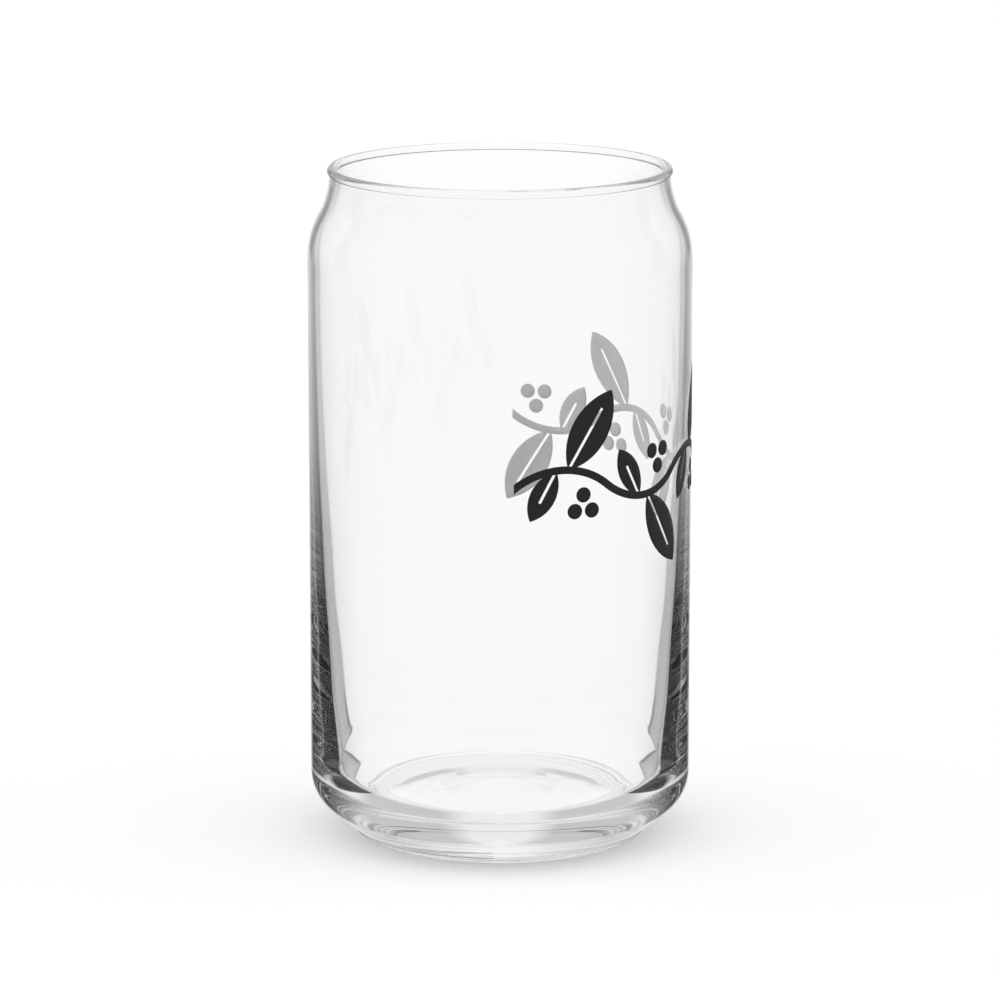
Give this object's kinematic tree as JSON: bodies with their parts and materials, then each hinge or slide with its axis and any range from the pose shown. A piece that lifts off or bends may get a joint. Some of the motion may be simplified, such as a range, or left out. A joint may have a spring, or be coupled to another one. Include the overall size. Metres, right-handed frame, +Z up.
{
  "type": "drinking glass",
  "caption": "Clear can-shaped drinking glass with a beaded rim, short neck, rounded shoulder, heavy base and a black leafy vine printed round one side.",
  "frame": {"origin": "middle of the foot, on the surface that the glass stands on", "axes": "+Z up along the glass's axis, +X through the middle of the print, -Y the front"},
  "size_m": [0.0755, 0.0755, 0.1334],
  "materials": {
    "clear_glass": "fire-polished clear glass, smooth and glossy",
    "black_ink": "fired black ink, satin outside, pale grey where it is seen through the glass"
  },
  "bodies": {
    "root": {"tumbler": "clear_glass", "print": "black_ink"}
  },
  "joints": []
}
